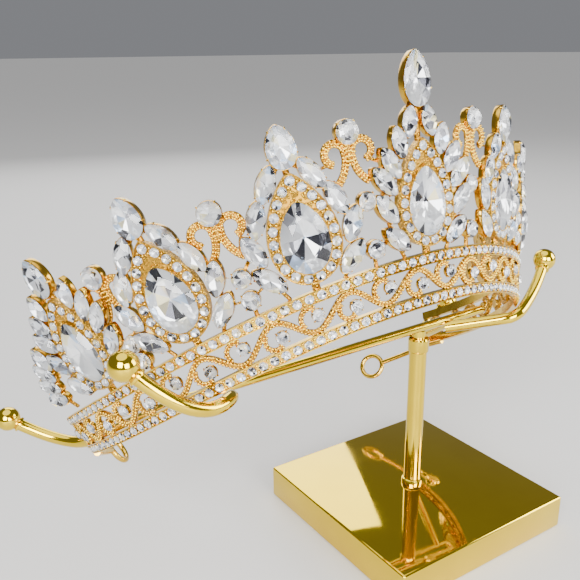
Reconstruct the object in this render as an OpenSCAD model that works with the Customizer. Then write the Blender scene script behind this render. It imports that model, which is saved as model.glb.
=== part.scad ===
// Crystal crown resting on its display stand, in millimetres.
// The origin is the centre of the base's underside, +Z is up and the crown's front looks along -Y.

/* [Stand] */
// Side of the square base plate
base_side = 75; // [60:1:90]
// Thickness of the base plate
base_thick = 12; // [8:0.5:16]
// Width of the bevel round the plate's top and bottom edges
base_bevel = 1; // [0.5:0.1:2]
// Diameter of the post
post_d = 6.1; // [5:0.1:7]
// Height of the post's top above the table
post_top = 65; // [62:0.5:66]
// Diameter of the collar on the post's top
collar_d = 7.2; // [6.6:0.1:9]
// Diameter of the two rails of the head
rail_d = 3; // [2.4:0.1:3.2]
// Distance between the rails' centre lines
rail_pitch = 5.2; // [4.8:0.1:6]
// Diameter of the four arms
arm_d = 3.9; // [3.4:0.1:4]
// Diameter of the ball at each arm's end
ball_d = 8; // [7:0.1:8.6]

/* [Ring] */
// Radius of the crown at the band's lower edge
ring_r = 75; // [72:0.5:80]
// Slope of the crown's wall away from the upright
flare = 20.8; // [15:0.2:25]
// Rise of the lower edge at the front and its fall at the sides
arch = 4.8; // [3:0.1:6]
// Angle of the band's ends from the front
band_end = 105; // [100:1:108]
// Height of the band along its slope
band_h = 14; // [12.5:0.1:15]
// Width of each stone row of the band
row_w = 3.2; // [2.8:0.1:3.6]
// Angle between neighbouring round stones of the band
round_pitch = 7.45; // [7.3:0.05:7.6]
// Diameter of the wire that carries the crown on behind the band
tail_d = 2; // [1.6:0.1:2.2]
// Angle of the end loops from the front
tail_end = 126.5; // [122:0.5:132]
// Outer diameter of the end loops
loop_d = 11.4; // [9:0.1:12]

/* [Stones] */
// Width of the large drop stones
drop_w = 12.5; // [11:0.1:13]
// Length of the large drop stones
drop_l = 18; // [17:0.1:18.4]
// Outer width of the halo round a drop stone
halo_w = 18.6; // [18:0.1:19]
// Outer length of the halo round a drop stone
halo_l = 28.1; // [27.5:0.1:28.6]
// Width of the pointed leaf stones
leaf_w = 5; // [4.4:0.1:5]
// Diameter of the round stones over the scrolls
top_round_d = 6.2; // [5.5:0.1:6.4]
// Diameter of the round stones between the motifs
gap_round_d = 4.9; // [4.4:0.1:5]
// Diameter of the round stones in the band
band_round_d = 3.5; // [3:0.1:3.7]
// Free space between a stone and its setting
stone_gap = 0.15; // [0.1:0.01:0.3]

/* [Hidden] */
$fn = 48;

gold = [0.92, 0.7, 0.24];
crystal = [0.9, 0.93, 0.97];

// Where the crown's own frame sits in the part's frame
crown_pos = [-33, 21.45, 57.5];
crown_lean = -31;
crown_roll = -1.2;
small_gap = 0.1;

// Depths, measured outward from the wall's middle surface
row_back = -0.7;
row_front = 0.9;
cup_back = -1.6;
plate_front = -0.8;
halo_front = 1.5;
leaf_back = -1.3;
leaf_plate = -0.4;
// How far the flat motifs stand out from the wall's middle surface
motif_out = -0.7;

// Heights of the stones' girdles and tables over their plane
drop_cut = [1.6, 3.6];
pear_cut = [1.2, 2.7];
leaf_cut = [0.9, 2.1];
top_cut = [1.2, 2.5];
gap_cut = [1.3, 2.3];
band_cut = [1, 1.8];
leaf_seat = leaf_plate + stone_gap;

// Motifs: angle from the front, whether the leaves stand out like flames, and lean to the left
motifs = [
    [-71, true, -1],
    [-48, false, 3.5],
    [-24, false, 0],
    [0, true, -1],
    [24, false, -5],
    [48, false, -2],
    [71, true, 0]
];
halo_base = 15.4;
// How sharp the points of the drop-shaped stones, the halos and the leaves are
stone_point = 0.35;
halo_point = 0.6;
leaf_point = 1.3;
drop_base = 18.2;

// Leaf stones on a motif's right side: inner end and outer end, each as [across, up]
calm_leaves = [
    [[3.4, 45.95], [8.2, 37.65]],
    [[8.7, 38.8], [11.8, 30]],
    [[14.8, 31.4], [10.7, 23]],
    [[14.3, 22.6], [7.3, 15.9]]
];
flame_leaves = [
    [[8.3, 46.8], [6.05, 38.65]],
    [[13.1, 41.7], [7.85, 33.9]],
    [[16.4, 37], [9.4, 30]],
    [[16, 30.2], [9.75, 22.9]],
    [[14, 21.5], [6.4, 15.8]]
];
crest_leaf = [[2.4, 51.6], [4.2, 43.6]];
// Leaves of the wing beyond each outermost motif, in the same form
wing_leaves = [
    [[21.2, 33.8], [17.2, 26]],
    [[25, 29.2], [18.4, 22.9]],
    [[27, 24.2], [19.2, 19.7]],
    [[27, 18.6], [18.9, 16.6]]
];

// Gaps between motifs: angle, how far the flat work stands out from the wall's middle surface,
// height of the scrolls' join, height of the top round, place across of scrolls and top round,
// and the two lower rounds, each as [across, up]
gaps = [
    [-59.5, -1.1, 35.5, 41.5, -0.6, [[0.1, 22], [0.2, 16.9]]],
    [-36, -0.4, 35.5, 41.5, -1.8, [[0, 24], [0.4, 18.1]]],
    [-12, -0.4, 42, 48.2, -2.3, [[0, 30.7], [0.3, 18.4]]],
    [12, -0.4, 42, 48.2, 2.5, [[0.15, 30.7], [-0.3, 18.4]]],
    [36, -0.4, 35.5, 41.5, 1.8, [[0, 24], [-0.4, 18.1]]],
    [59.5, -1.1, 35.5, 41.5, 0.9, [[-0.15, 22.4], [-0.2, 17.1]]]
];
gap_front = -0.1;
tail_height = -0.4;
tail_fall = 4.4;
tie_front = -0.8;
tie_d = 1.2;
// Widths of the flat wires: scrolls, stems and links between settings
scroll_w = 2.1;
stem_w = 1.8;
link_w = 1.3;
foot_w = 3;
// How far a setting's plate shows beyond its stone, at the sides and at the points
rim = 0.2;
point_rim = 0.3;
// How far a wire's end is sunk into the band
sunk = 1;
// Places across where the links under a motif and under a wing stand on the band
link_foot = 7;
wing_foot = 19;
// Scroll, measured from the join on its middle line: stem, middle of the eye, its radii and angles
scroll_stem = [[4.4, -6.4], [1.4, -4.2], [0.9, 0]];
scroll_eye = [3.9, 1.2];
scroll_radii = [3.1, 2.3];
scroll_turn = [165, -70];
// Where the two upper ties of a gap leave its scrolls, from the join
tie_spots = [[4, -0.5], [3.2, -5.5]];

// The wave between the two stone rows
wave_low = row_w - 0.3;
wave_high = band_h - row_w + 0.3;
wave_mid = (wave_low + wave_high) / 2;
wave_w = 1.8;
wave_back = -0.5;
wave_front = 0.8;
wave_steps = 4;
seat_front = 0.1;
round_offset = 0.8;
round_count = 28;
curl_r = 2.8;
curl_w = 1.5;
// Middle of a curl from its stone, its first and last angle, and how much its radius shrinks
curl_middle = [-1.9, 0.1];
curl_from = 220;
curl_to = 60;
curl_shrink = 0.5;
// The seat under a round stone begins and ends at these places from it, each as [across, up, width]
seat_begin = [0.3, 1.3, 2];
seat_end = [0, -1, 2.8];
end_bar_w = 2.6;
end_bar_front = row_front - 0.1;
// How far a round stone stands past the wave's crest or dip, in stone spacings
round_lead = 0.12;
// How far the wave and its round stones are moved along the band, in stone spacings
band_shift = -0.5;
band_r = ring_r + wave_mid * sin(flare);
round_space = round_pitch * PI / 180 * band_r;

// Post: foot ring, collar and the neck above it
foot_ring = 1.6;
foot_ring_h = 2;
collar_h = 5;
collar_sunk = 0.5;
neck_d = 4.6;
neck_h = 2.6;

// Stand head, in the crown's own frame
rail_y = -25.5;
rail_z = 1.5;
rail_left = -60.5;
rail_right = 65;
// Arms: place on the rails, place where the arm passes the band, bend and ball
arms = [
    [[-56, -22.9, 1.5], [-72.4, 27.4, -0.6], [-79, 39, 2], [-92.3, 39.7, 15]],
    [[-43, -27.6, -0.9], [-52.5, -49.5, -2.3], [-66, -56, -9], [-78.8, -54.1, 12.2]],
    [[43, -27.6, -0.9], [60.5, -44, -5.2], [77, -41.5, 1], [86.5, -41.7, 11.5]],
    [[56, -22.9, 1.5], [72.4, 27.4, -0.6], [83, 36, 2], [93.8, 21.9, 10.8]]
];
arm_steps = 5;

// Radius of the wall's middle surface at height h up the slope
function wall_r(h) = ring_r + h * sin(flare);
// Rise of the whole wall at angle a
function rise(a) = arch * cos(2 * a);
// Point at angle a, height h up the slope and n outward from the middle surface
function wall_point(a, h, n) =
    let (r = wall_r(h) + n * cos(flare))
    [r * sin(a), -r * cos(a), h * cos(flare) - n * sin(flare) + rise(a)];
// Point of a gap's or motif's flat work at angle a, given as [across, up, outward]
function plane_point(a, p) =
    let (y = -ring_r - p[1] * sin(flare) - p[2] * cos(flare))
    [
        p[0] * cos(a) - y * sin(a),
        p[0] * sin(a) + y * cos(a),
        p[1] * cos(flare) - p[2] * sin(flare) + rise(a)
    ];
// The same for motif m, which leans about the halo's lower end
function motif_point(m, p) =
    let (
        lean = motifs[m][2],
        up = p[1] - halo_base
    )
    plane_point(motifs[m][0], [
        p[0] * cos(lean) - up * sin(lean),
        halo_base + p[0] * sin(lean) + up * cos(lean),
        p[2] + motif_out
    ]);
// Angle that a length across takes up on a circle of radius r
function turn_of(across, r) = across / r * 180 / PI;
function bezier(p, q, r, steps) =
    [for (i = [0:steps]) let (t = i / steps) (1 - t) * (1 - t) * p + 2 * t * (1 - t) * q + t * t * r];
function arc(centre, r0, r1, from, to, steps) =
    [for (i = [0:steps])
        let (t = i / steps, a = from + (to - from) * t, r = r0 + (r1 - r0) * t)
        centre + r * [cos(a), sin(a)]];
// Unit normal of a flat path at point i
function path_normal(path, i) =
    let (
        last = len(path) - 1,
        d = path[min(i + 1, last)] - path[max(i - 1, 0)]
    )
    [-d[1], d[0]] / norm([d[0], d[1]]);

// Moves flat work, x across and y up, onto the wall at angle a and height h
module on_wall(a, h) {
    rotate([0, 0, a])
        translate([0, -wall_r(h), h * cos(flare) + rise(a)])
            rotate([90 + flare, 0, 0])
                children();
}

// Moves a motif's or a gap's flat work, x across and y up from the band's lower edge, onto the wall
module on_plane(a, out) {
    on_wall(a, 0)
        translate([0, 0, out])
            children();
}

// Moves the flat work of motif m onto the wall, leaning about the halo's lower end
module on_motif(m) {
    on_plane(motifs[m][0], motif_out)
        translate([0, halo_base])
            rotate([0, 0, motifs[m][2]])
                translate([0, -halo_base])
                    children();
}

// Moves the crown's own frame to its place on the stand
module crown_place() {
    translate(crown_pos)
        rotate([0, crown_roll, 0])
            rotate([crown_lean, 0, 0])
                children();
}

// A flat wire that follows a path on the band, each point as [across, up, width, front]
module band_strip(path, back) {
    n = len(path);
    corners = [[-1, false], [1, false], [1, true], [-1, true]];
    points = [
        for (i = [0:n - 1])
            for (c = corners)
                let (p = [path[i][0], path[i][1]] + path_normal(path, i) * c[0] * path[i][2] / 2)
                wall_point(turn_of(p[0], band_r), p[1], c[1] ? path[i][3] : back)
    ];
    sides = [
        for (i = [0:n - 2])
            for (k = [0:3])
                let (
                    p = 4 * i + k,
                    q = 4 * i + (k + 1) % 4
                )
                each [[p, p + 4, q], [q, p + 4, q + 4]]
    ];
    last = 4 * n - 4;
    ends = [[0, 2, 3], [0, 1, 2], [last, last + 2, last + 1], [last, last + 3, last + 2]];
    polyhedron(points, concat(sides, ends));
}

// A round wire through a list of points, level is a direction that it never runs along
module tube(points, d, level, sides) {
    n = len(points);
    rings = [
        for (i = [0:n - 1])
            let (
                way = points[min(i + 1, n - 1)] - points[max(i - 1, 0)],
                u = cross(way, level) / norm(cross(way, level)),
                v = cross(way, u) / norm(way)
            )
            for (k = [0:sides - 1])
                points[i] + d / 2 * (cos(360 * k / sides) * u + sin(360 * k / sides) * v)
    ];
    walls = [
        for (i = [0:n - 2])
            for (k = [0:sides - 1])
                let (
                    p = sides * i + k,
                    q = sides * i + (k + 1) % sides
                )
                each [[p, p + sides, q], [q, p + sides, q + sides]]
    ];
    ends = [[for (k = [0:sides - 1]) k], [for (k = [0:sides - 1]) sides * n - 1 - k]];
    polyhedron(rings, concat(walls, ends));
}

// Outline of a drop with its point at +y, sharper with a larger m
function drop_outline(w, l, count, m = stone_point) =
    let (
        s = sqrt((1 + m) / (2 + m)),
        peak = 2 * s * sqrt(1 - s * s) * pow(s, m)
    )
    [for (i = [0:count - 1])
        let (t = 360 * i / count)
        [-w / 2 * sin(t) * pow(sin(t / 2), m) / peak, l / 2 * cos(t)]];
// Outline of a leaf with its points at -x and +x
function leaf_outline(w, l) =
    [for (i = [0:7])
        let (t = 45 * i)
        [l / 2 * cos(t), w / 2 * sign(sin(t)) * pow(abs(sin(t)), leaf_point)]];
function round_outline(d, count) =
    [for (i = [0:count - 1]) let (t = 360 * (i + 0.5) / count) d / 2 * [cos(t), sin(t)]];

// A flat bar from p to q
module bar(p, q, width) {
    side = [p[1] - q[1], q[0] - p[0]] / norm(q - p) * width / 2;
    polygon([p + side, p - side, q - side, q + side]);
}

// A flat wire of one width along a path
module stroke(path, width) {
    n = len(path);
    polygon(concat(
        [for (i = [0:n - 1]) path[i] + path_normal(path, i) * width / 2],
        [for (i = [n - 1:-1:0]) path[i] - path_normal(path, i) * width / 2]
    ));
}

// Share of the outline that a stone's table takes
table_size = 0.58;
// Sides of a drop stone and of its seat
drop_sides = 16;

// A cut stone: table, a row of crown facets, and pavilion facets that meet in a point
module cut_stone(outline, cut, point) {
    n = len(outline);
    points = concat(
        [for (p = outline) [p[0], p[1], cut[0]]],
        [for (p = outline) [p[0] * table_size, p[1] * table_size, cut[1]]],
        [[0, 0, point]]
    );
    faces = concat(
        [[for (i = [0:n - 1]) 2 * n - 1 - i]],
        [for (i = [0:n - 1]) each [[i, i + n, (i + 1) % n], [(i + 1) % n, i + n, (i + 1) % n + n]]],
        [for (i = [0:n - 1]) [i, (i + 1) % n, 2 * n]]
    );
    color(crystal) polyhedron(points, faces);
}

// Places a leaf of a motif by its two ends
module leaf_place(leaf, side) {
    middle = leaf_middle(leaf);
    span = leaf[1] - leaf[0];
    translate([side * middle[0], middle[1]])
        rotate([0, 0, atan2(span[1], side * span[0])])
            children();
}
function leaf_length(leaf) = norm(leaf[1] - leaf[0]);
function leaf_middle(leaf) = (leaf[0] + leaf[1]) / 2;
// The outermost motifs have a wing on their outer side
function has_wing(m, side) = (m == 0 && side < 0) || (m == 6 && side > 0);
// Leaves of motif m on each side, without its crest and wings
function motif_leaves(m) = motifs[m][1] ? flame_leaves : calm_leaves;
// All leaves of motif m on one side
function side_leaves(m, side) =
    concat(
        m == 3 ? [crest_leaf] : [],
        motif_leaves(m),
        has_wing(m, side) ? wing_leaves : []
    );

// Width, length and lower end of the pear stone on top of motif m
function pear_size(m) = m == 3 ? [9, 14.2, 51] : motifs[m][1] ? [8, 11.4, 44] : [7.5, 10.8, 44.1];

module stand_base() {
    color(gold)
        translate([0, 0, base_bevel])
            union() {
                linear_extrude(base_thick - 2 * base_bevel)
                    square(base_side, center = true);
                for (z = [-base_bevel, base_thick - 2 * base_bevel])
                    translate([0, 0, z])
                        linear_extrude(base_bevel)
                            square(base_side - 2 * base_bevel, center = true);
            }
}

module stand_post() {
    foot = base_thick + small_gap;
    color(gold) {
        translate([0, 0, foot])
            cylinder(d = post_d, h = post_top - foot);
        translate([0, 0, foot])
            cylinder(d = post_d + foot_ring, h = foot_ring_h);
        translate([0, 0, post_top - collar_sunk])
            cylinder(d = collar_d, h = collar_h);
    }
}

// Two rails joined by a round turn at each end
module rails() {
    turn_r = rail_pitch / 2;
    left = rail_left + turn_r;
    right = rail_right - turn_r - rail_d / 2;
    for (side = [-1, 1])
        translate([left, rail_y + side * turn_r, rail_z])
            rotate([0, 90, 0])
                cylinder(d = rail_d, h = right - left);
    for (end = [[left, 90], [right, -90]])
        translate([end[0], rail_y, rail_z])
            rotate([0, 0, end[1]])
                rotate_extrude(angle = 180)
                    translate([turn_r, 0])
                        circle(d = rail_d);
}

module stand_head() {
    neck = post_top - collar_sunk + collar_h + small_gap;
    color(gold) {
        crown_place() {
            rails();
            for (arm = arms) {
                way = arm[3] - arm[0];
                tube(
                    concat([arm[0]], bezier(arm[1], arm[2], arm[3], arm_steps)),
                    arm_d, [way[1], -way[0], 0], 10
                );
                translate(arm[3])
                    sphere(d = ball_d);
            }
        }
        translate([0, 0, neck])
            cylinder(d = neck_d, h = neck_h);
    }
}

// Path of the wave, one crest and one dip for each pair of round stones
function wave_path() =
    [for (i = [0:round_count * wave_steps])
        let (k = i / wave_steps - round_count / 2 - band_shift)
        [
            (k + band_shift) * round_space,
            wave_mid + (wave_high - wave_low - wave_w) / 2 * cos(180 * k),
            wave_w,
            wave_front
        ]];

// Round stones of the band sit alternately low and high in the curls
function round_spot(k) =
    [(k + round_lead + band_shift) * round_space, wave_mid + (k % 2 == 0 ? -round_offset : round_offset)];
round_spots = [for (k = [1 - round_count / 2:round_count / 2]) round_spot(k)];

// A curl springs from the wave, rolls round and ends as the seat of its stone
function curl_path(spot) =
    let (
        over = spot[1] > wave_mid ? 1 : -1,
        centre = spot + [curl_middle[0], over * curl_middle[1]],
        curl = arc(centre, curl_r, curl_r - curl_shrink, over * curl_from, over * curl_to, 5)
    )
    concat(
        [for (p = curl) [p[0], p[1], curl_w, wave_front]],
        [for (p = [seat_begin, seat_end]) [spot[0] + p[0], spot[1] + over * p[1], p[2], seat_front]]
    );

module band_metal() {
    rows = [row_w / 2, band_h - row_w / 2];
    for (up = rows)
        band_strip(
            [for (a = [-band_end:5:band_end]) [a * PI / 180 * band_r, up, row_w, row_front]],
            row_back
        );
    for (side = [-1, 1])
        band_strip(
            [for (up = rows) [side * (band_end - 1) * PI / 180 * band_r, up, end_bar_w, end_bar_front]],
            row_back + 0.1
        );
    band_strip(wave_path(), wave_back);
    for (spot = round_spots)
        band_strip(curl_path(spot), wave_back + 0.1);
}

// Closed drop-shaped dish whose broad rim carries the small stones
module halo() {
    middle = halo_base + halo_l / 2;
    difference() {
        translate([0, middle, cup_back])
            linear_extrude(halo_front - cup_back)
                polygon(drop_outline(halo_w, halo_l, 20, halo_point));
        translate([0, drop_base + drop_l / 2, plate_front])
            linear_extrude(5)
                polygon(drop_outline(drop_w + 2 * stone_gap, drop_l + 4 * stone_gap, drop_sides));
    }
}

// Flat outline of the settings round one halo, and of the wires that join them
module motif_outline(m) {
    pear = pear_size(m);
    halo_tip = halo_base + halo_l;
    bar([0, band_h - sunk], [0, halo_base + 2 * sunk], foot_w);
    bar([0, halo_tip - 2 * sunk], [0, pear[2] + 2 * sunk], stem_w);
    translate([0, pear[2] + pear[1] / 2])
        polygon(drop_outline(pear[0] + 2 * rim, pear[1] + 2 * point_rim, 12));
    for (side = [-1, 1]) {
        leaves = side_leaves(m, side);
        for (leaf = leaves)
            leaf_place(leaf, side)
                polygon(leaf_outline(leaf_w + 2 * rim, leaf_length(leaf) + 2 * point_rim));
        path = concat(
            [[1, pear[2] + 1.5]],
            [for (leaf = leaves) leaf_middle(leaf)],
            [[has_wing(m, side) ? wing_foot : link_foot, band_h - sunk]]
        );
        for (i = [0:len(path) - 2]) {
            p = [side * path[i][0], path[i][1]];
            q = [side * path[i + 1][0], path[i + 1][1]];
            bar(p, q, link_w);
        }
    }
}

module motif_metal(m) {
    on_motif(m) {
        translate([0, 0, leaf_back])
            linear_extrude(leaf_plate - leaf_back)
                motif_outline(m);
        halo();
    }
}

// One half of a scroll pair: a stem that turns over at the top and rolls in
function scroll_path(join) =
    let (
        at = [0, join],
        stem = scroll_stem
    )
    concat(
        bezier(at + stem[0], at + stem[1], at + stem[2], 3),
        arc(at + scroll_eye, scroll_radii[0], scroll_radii[1], scroll_turn[0], scroll_turn[1], 7)
    );

// Flat outline of a scroll pair and of the three round settings on its middle line
module gap_outline(gap) {
    join = gap[2];
    translate([gap[4], 0]) {
        for (side = [-1, 1])
            stroke([for (p = scroll_path(join)) [side * p[0], p[1]]], scroll_w);
        bar([0, join - 1.6], [0, gap[3] - 1], stem_w);
        translate([0, gap[3]])
            polygon(round_outline(top_round_d + 2 * rim, 8));
    }
    for (spot = gap[5])
        translate(spot)
            polygon(round_outline(gap_round_d + 2 * rim, 8));
}

// Straight wires that join a gap's scrolls and settings to the leaves of the motifs beside it
module gap_ties(g) {
    gap = gaps[g];
    join = gap[2];
    high = join > 40;
    for (side = [-1, 1]) {
        m = side < 0 ? g : g + 1;
        starts = concat(
            [for (spot = tie_spots) [gap[4] + side * spot[0], join + spot[1]]],
            gap[5]
        );
        leaf_numbers = [high ? 0 : 1, high ? 1 : 2, 2, 3];
        for (k = [0:3]) {
            leaf = leaf_middle(motif_leaves(m)[leaf_numbers[k] + (motifs[m][1] ? 1 : 0)]);
            start = plane_point(gap[0], [starts[k][0], starts[k][1], gap[1] + tie_front]);
            end = motif_point(m, [-side * leaf[0], leaf[1], leaf_back + tie_d / 4]);
            tube([start, end], tie_d, [0, 0, 1], 4);
        }
    }
}

module gap_metal(g) {
    gap = gaps[g];
    lowest = gap[5][1];
    on_plane(gap[0], gap[1])
        translate([0, 0, leaf_back]) {
            linear_extrude(gap_front - leaf_back)
                gap_outline(gap);
            linear_extrude(tie_front - leaf_back)
                bar(lowest, [lowest[0], band_h - sunk], stem_w);
        }
    gap_ties(g);
}

// Height of the tail on the wall at angle a: level within the band, then falling to the loop
function tail_up(a) = tail_height - tail_fall * max(0, (a - band_end) / (tail_end - band_end));

// Wire that carries the ring on behind the band, and the loop at its end
module tail_metal(side) {
    loop_r = (loop_d - tail_d) / 2;
    start = band_end - 6;
    stop = tail_end - turn_of(loop_r, ring_r);
    path = [
        for (i = [0:6])
            let (a = start + (stop - start) * i / 6)
            wall_point(side * a, tail_up(a), 0)
    ];
    tube(path, tail_d, [0, 0, 1], 6);
    on_wall(side * tail_end, tail_up(tail_end))
        rotate_extrude($fn = 12)
            translate([loop_r, 0])
                circle(d = tail_d, $fn = 6);
}

module crown_frame() {
    color(gold)
        crown_place()
            union() {
                band_metal();
                for (m = [0:6])
                    motif_metal(m);
                for (g = [0:5])
                    gap_metal(g);
                for (side = [-1, 1])
                    tail_metal(side);
            }
}

module drop_stone(m) {
    crown_place()
        on_motif(m)
            translate([0, drop_base + drop_l / 2])
                cut_stone(drop_outline(drop_w, drop_l, drop_sides), drop_cut, plate_front + stone_gap);
}

module pear_stone(m) {
    pear = pear_size(m);
    crown_place()
        on_motif(m)
            translate([0, pear[2] + pear[1] / 2])
                cut_stone(drop_outline(pear[0], pear[1], 12), pear_cut, leaf_seat);
}

module leaf_stones(m) {
    crown_place()
        on_motif(m)
            for (side = [-1, 1])
                for (leaf = side_leaves(m, side))
                    leaf_place(leaf, side)
                        cut_stone(leaf_outline(leaf_w, leaf_length(leaf)), leaf_cut, leaf_seat);
}

// The round stone on top of a gap's scrolls
module top_round(gap) {
    crown_place()
        on_plane(gap[0], gap[1])
            translate([gap[4], gap[3]])
                cut_stone(round_outline(top_round_d, 8), top_cut, gap_front + stone_gap);
}

// The upper (0) or lower (1) round stone below a gap's scrolls
module gap_round(gap, k) {
    crown_place()
        on_plane(gap[0], gap[1])
            translate(gap[5][k])
                cut_stone(round_outline(gap_round_d, 8), gap_cut, gap_front + stone_gap);
}

module band_rounds() {
    crown_place()
        for (spot = round_spots)
            on_wall(turn_of(spot[0], band_r), spot[1])
                cut_stone(round_outline(band_round_d, 8), band_cut, seat_front + stone_gap);
}

stand_base();
stand_post();
stand_head();
crown_frame();
band_rounds();
for (m = [0:6]) {
    drop_stone(m);
    pear_stone(m);
    leaf_stones(m);
}
for (g = [0:5]) {
    top_round(gaps[g]);
    for (k = [0, 1])
        gap_round(gaps[g], k);
}
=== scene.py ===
import math
import random

import bmesh
import bpy
from mathutils import Matrix, Vector


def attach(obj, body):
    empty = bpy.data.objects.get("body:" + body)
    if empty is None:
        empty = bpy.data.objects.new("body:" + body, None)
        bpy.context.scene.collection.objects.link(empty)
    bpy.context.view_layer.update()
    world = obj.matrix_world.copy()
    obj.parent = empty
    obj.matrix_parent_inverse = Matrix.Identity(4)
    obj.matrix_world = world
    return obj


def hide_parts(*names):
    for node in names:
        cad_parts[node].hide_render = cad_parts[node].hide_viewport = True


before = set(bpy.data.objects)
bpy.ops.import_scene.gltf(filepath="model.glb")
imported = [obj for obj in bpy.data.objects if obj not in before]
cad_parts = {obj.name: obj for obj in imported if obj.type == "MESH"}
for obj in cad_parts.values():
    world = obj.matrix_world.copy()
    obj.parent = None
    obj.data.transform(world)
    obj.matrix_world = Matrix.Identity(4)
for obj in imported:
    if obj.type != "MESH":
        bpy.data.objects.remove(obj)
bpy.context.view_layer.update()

bl_info = {
    "name": "Crystal crown on its stand",
    "version": (1, 0, 0),
    "blender": (4, 5, 0),
    "location": "View3D > Sidebar > Crown",
    "description": "Dresses the packed crown and stand with cut stones, grained gold wires and polished gold",
    "category": "Object",
}

MM = 0.001

# Sizes of the crown's wall and band, in millimetres and degrees, as in the part's source
RING_R = 75
FLARE = 20.8
ARCH = 4.8
BAND_END = 105
BAND_H = 14
ROW_W = 3.2
ROW_MARGIN = 1.4
ROUND_PITCH = 7.45
TAIL_D = 2
TAIL_START = BAND_END - 6
TAIL_END = 126.5
TAIL_HEIGHT = -0.4
TAIL_FALL = 4.4
LOOP_D = 11.4
CROWN_POS = (-33, 21.45, 57.5)
CROWN_LEAN = -31
CROWN_ROLL = -1.2
ROW_BACK = -0.7
ROW_FRONT = 0.9
CUP_BACK = -1.6
PLATE_FRONT = -0.8
HALO_FRONT = 1.5
LEAF_BACK = -1.3
MOTIF_OUT = -0.7
GAP_FRONT = -0.1
SUNK = 1

# Stones: sizes, how sharp their outlines are, and each cut's girdle and table over its seat
DROP_W = 12.5
DROP_L = 18
HALO_W = 18.6
HALO_L = 28.1
LEAF_W = 5
TOP_ROUND_D = 6.2
GAP_ROUND_D = 4.9
BAND_ROUND_D = 3.5
STONE_POINT = 0.35
HALO_POINT = 0.6
LEAF_POINT = 1.3
HALO_BASE = 15.4
HALO_MIDDLE = HALO_BASE + HALO_L / 2
DROP_BASE = 18.2
DROP_MIDDLE = DROP_BASE + DROP_L / 2
STONE_GAP = 0.15
LEAF_SEAT = -0.4 + STONE_GAP
GAP_SEAT = GAP_FRONT + STONE_GAP
DROP_CUT = (HALO_FRONT + 0.1, HALO_FRONT + 2.1, PLATE_FRONT + STONE_GAP)
PEAR_CUT = (1.2, 2.7, LEAF_SEAT)
LEAF_CUT = (0.9, 2.1, LEAF_SEAT)
TOP_CUT = (1.2, 2.5, GAP_SEAT)
GAP_CUT = (1.3, 2.3, GAP_SEAT)
BAND_CUT = (1, 1.8, 0.25)
ROW_CUT = (0.75, 1.25, 0.42)
HALO_CUT = (HALO_FRONT - 0.1, HALO_FRONT + 0.5, HALO_FRONT - 0.55)

# Facets of a cut: share of the stone's size at the table, the star, the lower facets and the point
TABLE_SIZE = 0.56
STAR_SIZE = 0.79
LOWER_SIZE = 0.58
POINT_SIZE = 0.05
GIRDLE_HALF = 0.05

# Foil behind the facets, each colour with the share of the facets that have it: white is the silver foil's
# own colour; the greys and the near-black are painted reflections of dark surroundings, and the blue and the
# yellow are painted fire.
FOIL_AND_PAINTED_GLINTS = [
    ((1.0, 1.0, 1.0), 0.58),
    ((0.85, 0.87, 0.9), 0.1),
    ((0.4, 0.4, 0.43), 0.08),
    ((0.03, 0.03, 0.04), 0.13),
    ((0.6, 0.76, 1.0), 0.05),
    ((1.0, 0.9, 0.55), 0.06),
]

# Claws: size against the sizes' claw, and their places round the outline
PEAR_CLAWS = (0.8, (0.12, 0.31, 0.5, 0.69, 0.88))
DROP_CLAWS = (1, (0, 0.14, 0.3, 0.43, 0.57, 0.7, 0.86))
LEAF_CLAWS = (0.75, (0.13, 0.37, 0.63, 0.87))
ROUND_CLAWS = (0.8, (0.125, 0.375, 0.625, 0.875))
BAND_CLAWS = (0.75, (0.125, 0.375, 0.625, 0.875))
CLAW_LEAN = -25

# Motifs: angle from the front, whether the leaves stand out like flames, and lean to the left
MOTIFS = [
    (-71, True, -1),
    (-48, False, 3.5),
    (-24, False, 0),
    (0, True, -1),
    (24, False, -5),
    (48, False, -2),
    (71, True, 0),
]
MOTIF_COUNT = len(MOTIFS)
MIDDLE = MOTIF_COUNT // 2
CALM_LEAVES = [
    ((3.4, 45.95), (8.2, 37.65)),
    ((8.7, 38.8), (11.8, 30)),
    ((14.8, 31.4), (10.7, 23)),
    ((14.3, 22.6), (7.3, 15.9)),
]
FLAME_LEAVES = [
    ((8.3, 46.8), (6.05, 38.65)),
    ((13.1, 41.7), (7.85, 33.9)),
    ((16.4, 37), (9.4, 30)),
    ((16, 30.2), (9.75, 22.9)),
    ((14, 21.5), (6.4, 15.8)),
]
CREST_LEAF = ((2.4, 51.6), (4.2, 43.6))
WING_LEAVES = [
    ((21.2, 33.8), (17.2, 26)),
    ((25, 29.2), (18.4, 22.9)),
    ((27, 24.2), (19.2, 19.7)),
    ((27, 18.6), (18.9, 16.6)),
]

# Gaps: angle, how far the work stands out, height of the scrolls' join, height of the top round,
# place across of scrolls and top round, and the two lower rounds
GAPS = [
    (-59.5, -1.1, 35.5, 41.5, -0.6, ((0.1, 22), (0.2, 16.9))),
    (-36, -0.4, 35.5, 41.5, -1.8, ((0, 24), (0.4, 18.1))),
    (-12, -0.4, 42, 48.2, -2.3, ((0, 30.7), (0.3, 18.4))),
    (12, -0.4, 42, 48.2, 2.5, ((0.15, 30.7), (-0.3, 18.4))),
    (36, -0.4, 35.5, 41.5, 1.8, ((0, 24), (-0.4, 18.1))),
    (59.5, -1.1, 35.5, 41.5, 0.9, ((-0.15, 22.4), (-0.2, 17.1))),
]

# Scrolls: width, stem, middle of the eye, its radii and its angles, measured from the join
SCROLL_W = 2.1
SCROLL_FLAT = 0.55
SCROLL_STEM = ((4.4, -6.4), (1.4, -4.2), (0.9, 0))
SCROLL_EYE = (3.9, 1.2)
SCROLL_RADII = (3.1, 2.3)
SCROLL_TURN = (165, -70)
SCROLL_GRAINS = ((-0.65, GAP_FRONT - 0.25), (0, GAP_FRONT - 0.05), (0.65, GAP_FRONT - 0.25))
HIGH_JOIN = 40

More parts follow.
